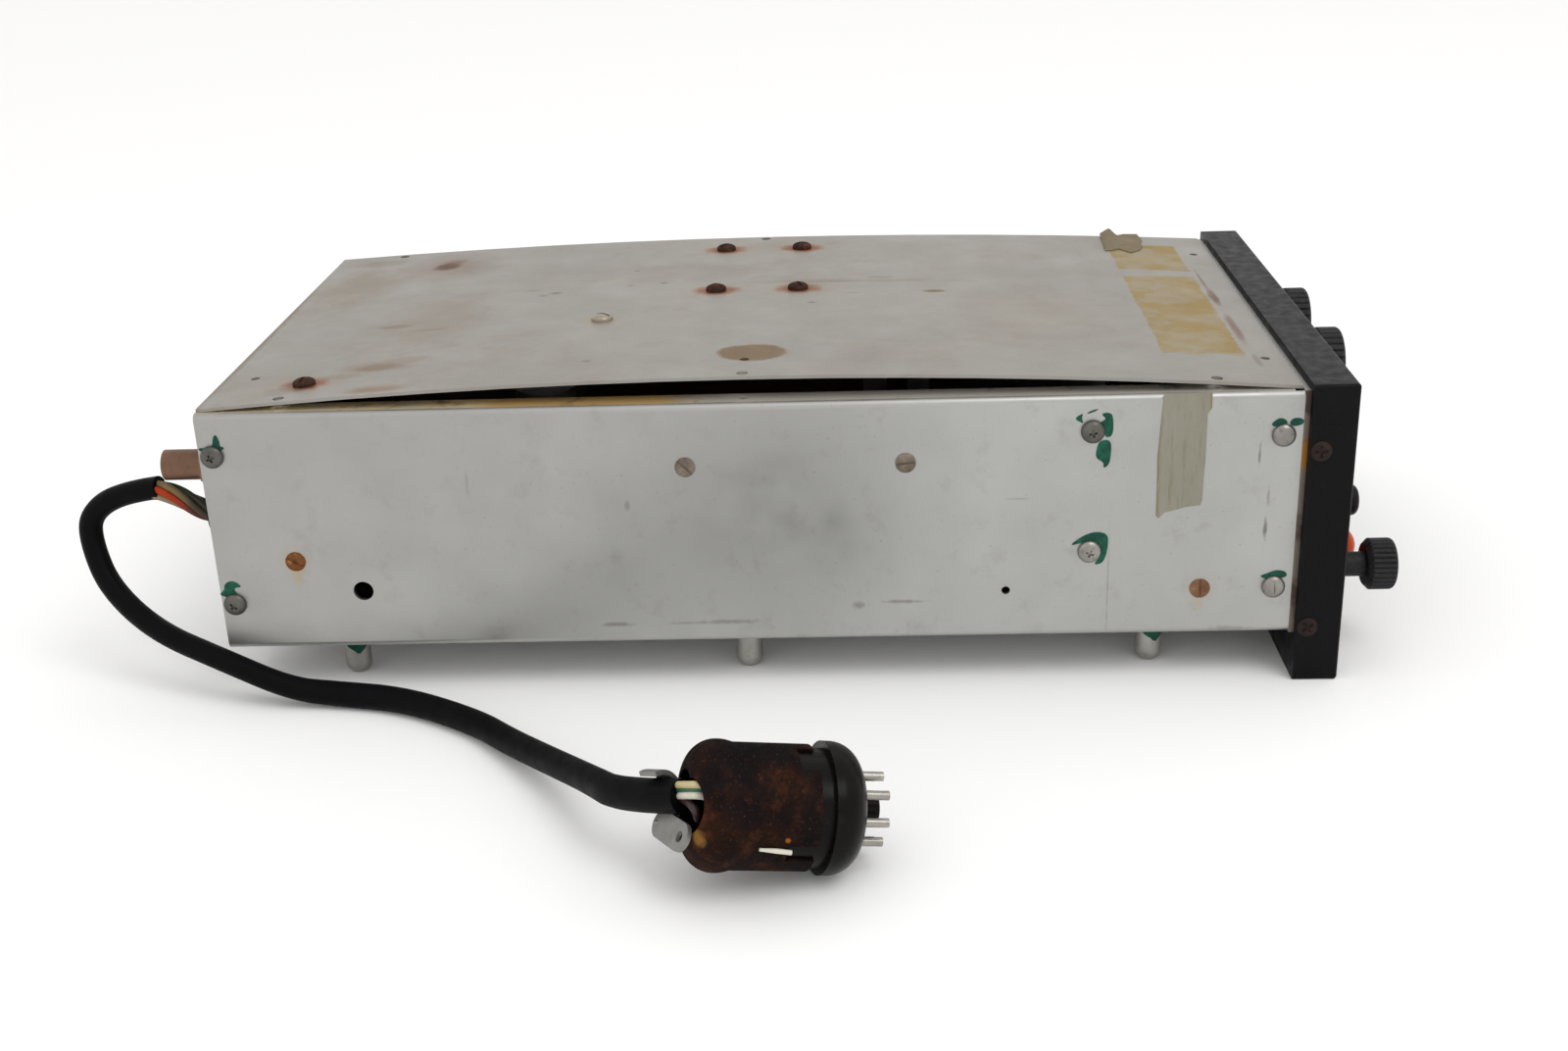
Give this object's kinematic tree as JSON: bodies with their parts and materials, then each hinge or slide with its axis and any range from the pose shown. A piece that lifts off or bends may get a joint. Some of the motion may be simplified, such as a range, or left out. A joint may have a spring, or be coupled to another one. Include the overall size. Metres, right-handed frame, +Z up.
{
  "type": "panel radio",
  "caption": "Low aluminium-cased panel radio with black bezel, knurled knobs, slide-rule dial drive, bowed top cover, pillar feet and a rear lead ending in an octal plug.",
  "frame": {"origin": "centre of the set's footprint on the table, without the lead", "axes": "the front panel faces -Y, the rear +Y, +Z is up"},
  "size_m": [0.3041, 0.4018, 0.0981],
  "materials": {
    "aluminium_sheet": "satin, worn",
    "black_paint": "satin, worn",
    "panel_paint": "matte",
    "plated_steel": "dull plated",
    "rusty_steel": "rusted",
    "brass": "tarnished",
    "copper_alloy": "tarnished",
    "knob_plastic": "worn",
    "black_plastic": "gloss",
    "phenolic": "dull",
    "amber_jewel": "clear amber",
    "clear_lens": "clear",
    "bulb_glass": "clear",
    "dial_card": "matte",
    "pointer_red": "satin",
    "board": "satin",
    "winding": "taped",
    "cord_fibre": "braided",
    "rubber": "matte",
    "sleeve_plastic": "dull",
    "wire_plastic": "mixed colours",
    "zinc": "dull cast",
    "bright_pins": "bright",
    "white_insulator": "dull"
  },
  "bodies": {
    "case": {"antenna_jack": "copper_alloy", "bezel": "black_paint", "bezel_screws": "rusty_steel", "board_rails": "aluminium_sheet", "button_switch": "phenolic", "cable_sleeve": "sleeve_plastic", "capacitor_frame": "aluminium_sheet", "capacitor_stator": "aluminium_sheet", "chassis": "aluminium_sheet", "circuit_board": "board", "control_nuts": "plated_steel", "control_panel": "panel_paint", "cover_nuts": "plated_steel", "cover_screws": "rusty_steel", "crystals": "plated_steel", "dial_cord": "cord_fibre", "dial_lens": "clear_lens", "dial_plate": "dial_card", "dial_spacers": "brass", "feet": "plated_steel", "filter_capacitors": "aluminium_sheet", "foot_screws": "plated_steel", "front_plate": "aluminium_sheet", "grommet": "rubber", "idler_studs": "plated_steel", "if_cans": "aluminium_sheet", "jack_insulator": "white_insulator", "jack_nut": "copper_alloy", "lamp_bulb": "bulb_glass", "lamp_holder": "brass", "lamp_jewel": "amber_jewel", "output_transformer": "plated_steel", "partition": "aluminium_sheet", "plug_base": "black_plastic", "plug_cap": "rusty_steel", "plug_clamp": "zinc", "plug_pins": "bright_pins", "rear_panel": "aluminium_sheet", "selector_switch": "phenolic", "side_flush_screws": "rusty_steel", "side_screws": "plated_steel", "terminal_strips": "phenolic", "top_cover": "aluminium_sheet", "transformer_winding": "winding", "tuning_bushing": "brass", "volume_pot": "plated_steel", "wire_bundle": "wire_plastic"},
    "tuning": {"tuning_knob": "knob_plastic", "tuning_shaft": "brass", "dial_drum": "brass", "capacitor_rotor": "aluminium_sheet"},
    "pointer": {"dial_pointer": "pointer_red"},
    "idler_high": {"idler_top": "brass"},
    "idler_low": {"idler_bottom": "brass"},
    "volume": {"volume_knob": "knob_plastic", "volume_shaft": "brass"},
    "selector": {"selector_knob": "knob_plastic", "selector_shaft": "brass"},
    "button": {"test_button": "black_plastic"}
  },
  "joints": [
    {"name": "tuning_turn", "type": "hinge", "parent": "case", "child": "tuning", "pos_m": [0.0115, -0.1494, 0.066], "axis": [0, 1, 0], "range_deg": [-88, 88]},
    {"name": "pointer_travel", "type": "slide", "parent": "case", "child": "pointer", "axis": [1, 0, 0], "range_m": [-0.0295, 0.0295]},
    {"name": "idler_high_turn", "type": "hinge", "parent": "case", "child": "idler_high", "pos_m": [-0.08, -0.1494, 0.079], "axis": [0, 1, 0], "range_deg": [-280, 280]},
    {"name": "idler_low_turn", "type": "hinge", "parent": "case", "child": "idler_low", "pos_m": [-0.08, -0.1494, 0.053], "axis": [0, 1, 0], "range_deg": [-280, 280]},
    {"name": "volume_turn", "type": "hinge", "parent": "case", "child": "volume", "pos_m": [-0.069, -0.1494, 0.0275], "axis": [0, 1, 0], "range_deg": [-150, 150]},
    {"name": "selector_turn", "type": "hinge", "parent": "case", "child": "selector", "pos_m": [0.061, -0.1494, 0.066], "axis": [0, 1, 0], "range_deg": [-150, 150]},
    {"name": "button_press", "type": "slide", "parent": "case", "child": "button", "axis": [0, 1, 0], "range_m": [0, 0.0025], "stiffness_N_per_m": 400}
  ],
  "couplings": [
    {"joint": "pointer_travel", "follows": "tuning_turn", "m_per_rad": 0.019},
    {"joint": "idler_high_turn", "follows": "tuning_turn", "ratio": 3.1667},
    {"joint": "idler_low_turn", "follows": "tuning_turn", "ratio": 3.1667}
  ]
}
